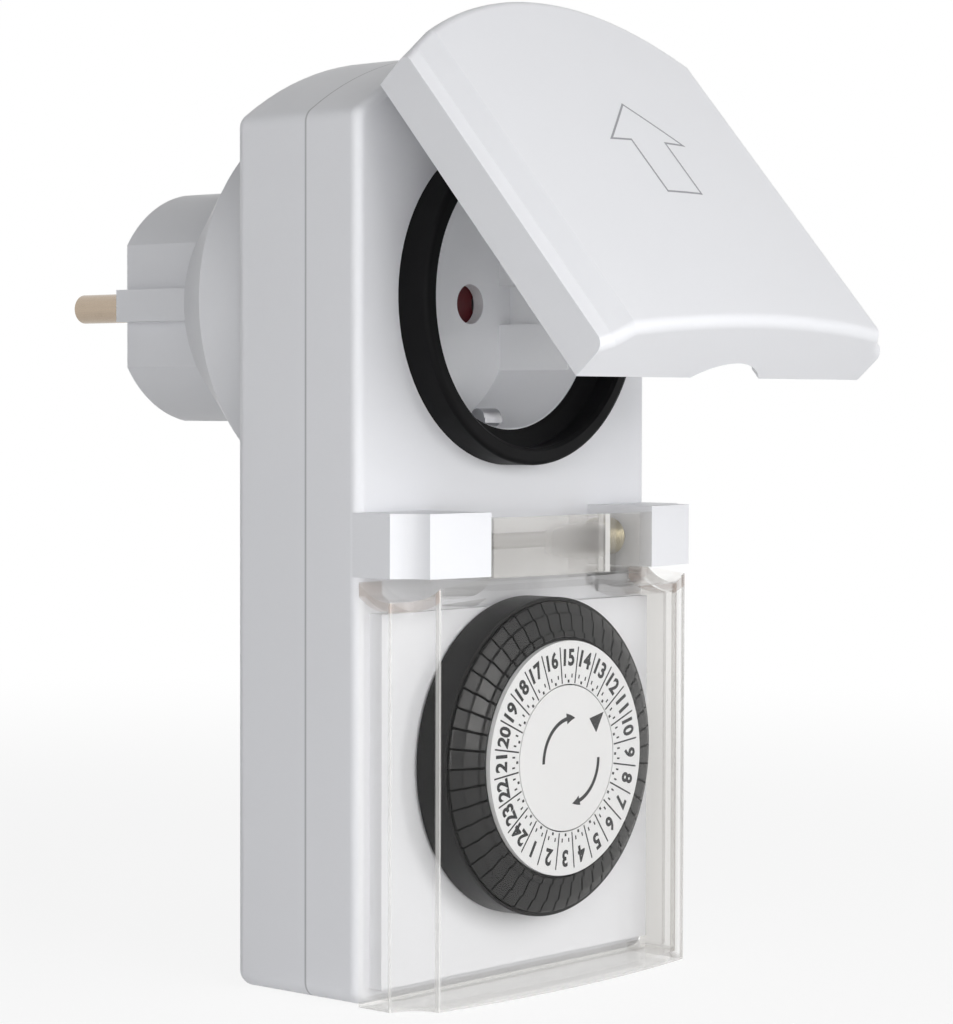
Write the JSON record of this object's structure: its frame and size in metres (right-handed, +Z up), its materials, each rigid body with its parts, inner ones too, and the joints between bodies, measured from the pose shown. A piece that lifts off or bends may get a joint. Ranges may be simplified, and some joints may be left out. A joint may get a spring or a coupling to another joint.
{
  "type": "mechanical timer socket",
  "caption": "Plug-in mechanical segment timer: arched casing with a plug at the back, a sealed socket under a hinged lid, and a tappet dial behind a clear hinged cover.",
  "frame": {"origin": "centre of the plug's face, on the plug's axis", "axes": "+Y along the plug pins, away from the casing and into the wall socket; +Z up, towards the lid's hinge; +X to the right as seen from the front"},
  "size_m": [0.0676, 0.1367, 0.148],
  "materials": {
    "casing": "satin moulded plastic, light grey-white",
    "seal": "satin black elastomer",
    "pin": "nickel-free turned brass, warm tan",
    "brass": "stamped brass strip",
    "spring_steel": "plated steel",
    "shutter": "dark red plastic",
    "clear_cover": "clear plastic with a faint warm tint",
    "dial_black": "black satin plastic",
    "label": "printed off-white label",
    "gear": "natural acetal",
    "steel": "bright steel",
    "motor_can": "zinc-plated steel",
    "copper": "enamelled copper winding",
    "dark_plastic": "dark thermoset",
    "wire_cover": "soft wire insulation"
  },
  "bodies": {
    "casing": {"busbar_live": "brass", "busbar_neutral": "brass", "busbar_switched": "brass", "casing_screws": "steel", "casing_seal": "seal", "centre_plate": "label", "cover_hinge_pin": "brass", "cover_spring": "brass", "dial_axle": "steel", "fixed_contact": "brass", "follower_bracket": "casing", "follower_pin": "steel", "front_casing": "casing", "intermediate_axle": "steel", "lid_hinge_pin": "steel", "motor_coil": "copper", "motor_housing": "motor_can", "motor_leads": "wire_cover", "movement_plate": "dark_plastic", "movement_screws": "steel", "plug_body": "casing", "plug_earth_contact": "spring_steel", "plug_pin_live": "pin", "plug_pin_neutral": "pin", "rear_casing": "casing", "shutter_guide_rails": "shutter", "socket_contact_live": "brass", "socket_contact_neutral": "brass", "socket_earth_bow": "spring_steel", "socket_insert": "casing", "socket_seal_ring": "seal", "switch_base": "dark_plastic", "switch_pivot_pin": "steel"},
    "lid": {"lid": "casing"},
    "timer_cover": {"timer_cover": "clear_cover"},
    "dial": {"dial_drum": "dial_black", "scale_ring": "label", "tappets_fixed_group": "dial_black", "dial_gear": "gear"},
    "intermediate": {"intermediate_gear": "gear"},
    "motor_output": {"motor_pinion": "gear"},
    "rotor": {"motor_rotor": "dark_plastic"},
    "follower": {"follower_lever": "gear"},
    "blade": {"switch_blade": "copper"},
    "shutter": {"socket_shutter": "shutter"},
    "tappet_01": {"tappet_01": "dial_black"},
    "tappet_02": {"tappet_02": "dial_black"},
    "tappet_03": {"tappet_03": "dial_black"},
    "tappet_04": {"tappet_04": "dial_black"},
    "tappet_05": {"tappet_05": "dial_black"},
    "tappet_06": {"tappet_06": "dial_black"},
    "tappet_07": {"tappet_07": "dial_black"},
    "tappet_08": {"tappet_08": "dial_black"},
    "tappet_09": {"tappet_09": "dial_black"},
    "tappet_10": {"tappet_10": "dial_black"},
    "tappet_11": {"tappet_11": "dial_black"},
    "tappet_12": {"tappet_12": "dial_black"}
  },
  "joints": [
    {"name": "lid_hinge", "type": "hinge", "parent": "casing", "child": "lid", "pos_m": [0, -0.0684, 0.0344], "axis": [-1, 0, 0], "range_deg": [-41, 49]},
    {"name": "cover_hinge", "type": "hinge", "parent": "casing", "child": "timer_cover", "pos_m": [0, -0.0748, -0.0363], "axis": [-1, 0, 0], "range_deg": [0, 92], "stiffness_Nm_per_rad": 0.008, "springref_deg": -57.3},
    {"name": "dial_spin", "type": "hinge", "parent": "casing", "child": "dial", "pos_m": [0, -0.0684, -0.0692], "axis": [0, 1, 0], "continuous": true},
    {"name": "intermediate_spin", "type": "hinge", "parent": "casing", "child": "intermediate", "pos_m": [-0.01259, -0.0624, -0.08591], "axis": [0, 1, 0], "continuous": true},
    {"name": "motor_output_spin", "type": "hinge", "parent": "casing", "child": "motor_output", "pos_m": [0.00584, -0.0604, -0.0841], "axis": [0, 1, 0], "continuous": true},
    {"name": "rotor_spin", "type": "hinge", "parent": "casing", "child": "rotor", "pos_m": [0.00584, -0.0524, -0.0841], "axis": [0, 1, 0], "continuous": true},
    {"name": "follower_pivot", "type": "hinge", "parent": "casing", "child": "follower", "pos_m": [0.0255, -0.0604, -0.0692], "axis": [0, 0, 1], "range_deg": [-6, 0], "stiffness_Nm_per_rad": 0.002, "springref_deg": 2.86},
    {"name": "blade_bend", "type": "hinge", "parent": "casing", "child": "blade", "pos_m": [0.0272, -0.0543, -0.05], "axis": [0, 1, 0], "range_deg": [-2.1, 0]},
    {"name": "shutter_slide", "type": "slide", "parent": "casing", "child": "shutter", "axis": [1, 0, 0], "range_m": [-0.0056, 0], "stiffness_N_per_m": 40, "springref_m": 0.003},
    {"name": "tappet_01_press", "type": "slide", "parent": "dial", "child": "tappet_01", "axis": [0, 1, 0], "range_m": [0, 0.0025]},
    {"name": "tappet_02_press", "type": "slide", "parent": "dial", "child": "tappet_02", "axis": [0, 1, 0], "range_m": [0, 0.0025]},
    {"name": "tappet_03_press", "type": "slide", "parent": "dial", "child": "tappet_03", "axis": [0, 1, 0], "range_m": [0, 0.0025]},
    {"name": "tappet_04_press", "type": "slide", "parent": "dial", "child": "tappet_04", "axis": [0, 1, 0], "range_m": [0, 0.0025]},
    {"name": "tappet_05_press", "type": "slide", "parent": "dial", "child": "tappet_05", "axis": [0, 1, 0], "range_m": [0, 0.0025]},
    {"name": "tappet_06_press", "type": "slide", "parent": "dial", "child": "tappet_06", "axis": [0, 1, 0], "range_m": [0, 0.0025]},
    {"name": "tappet_07_press", "type": "slide", "parent": "dial", "child": "tappet_07", "axis": [0, 1, 0], "range_m": [0, 0.0025]},
    {"name": "tappet_08_press", "type": "slide", "parent": "dial", "child": "tappet_08", "axis": [0, 1, 0], "range_m": [0, 0.0025]},
    {"name": "tappet_09_press", "type": "slide", "parent": "dial", "child": "tappet_09", "axis": [0, 1, 0], "range_m": [0, 0.0025]},
    {"name": "tappet_10_press", "type": "slide", "parent": "dial", "child": "tappet_10", "axis": [0, 1, 0], "range_m": [0, 0.0025]},
    {"name": "tappet_11_press", "type": "slide", "parent": "dial", "child": "tappet_11", "axis": [0, 1, 0], "range_m": [0, 0.0025]},
    {"name": "tappet_12_press", "type": "slide", "parent": "dial", "child": "tappet_12", "axis": [0, 1, 0], "range_m": [0, 0.0025]}
  ],
  "couplings": [
    {"joint": "intermediate_spin", "follows": "dial_spin", "ratio": -4.2},
    {"joint": "motor_output_spin", "follows": "dial_spin", "ratio": 15.12},
    {"joint": "blade_bend", "follows": "follower_pivot", "ratio": 0.35}
  ]
}
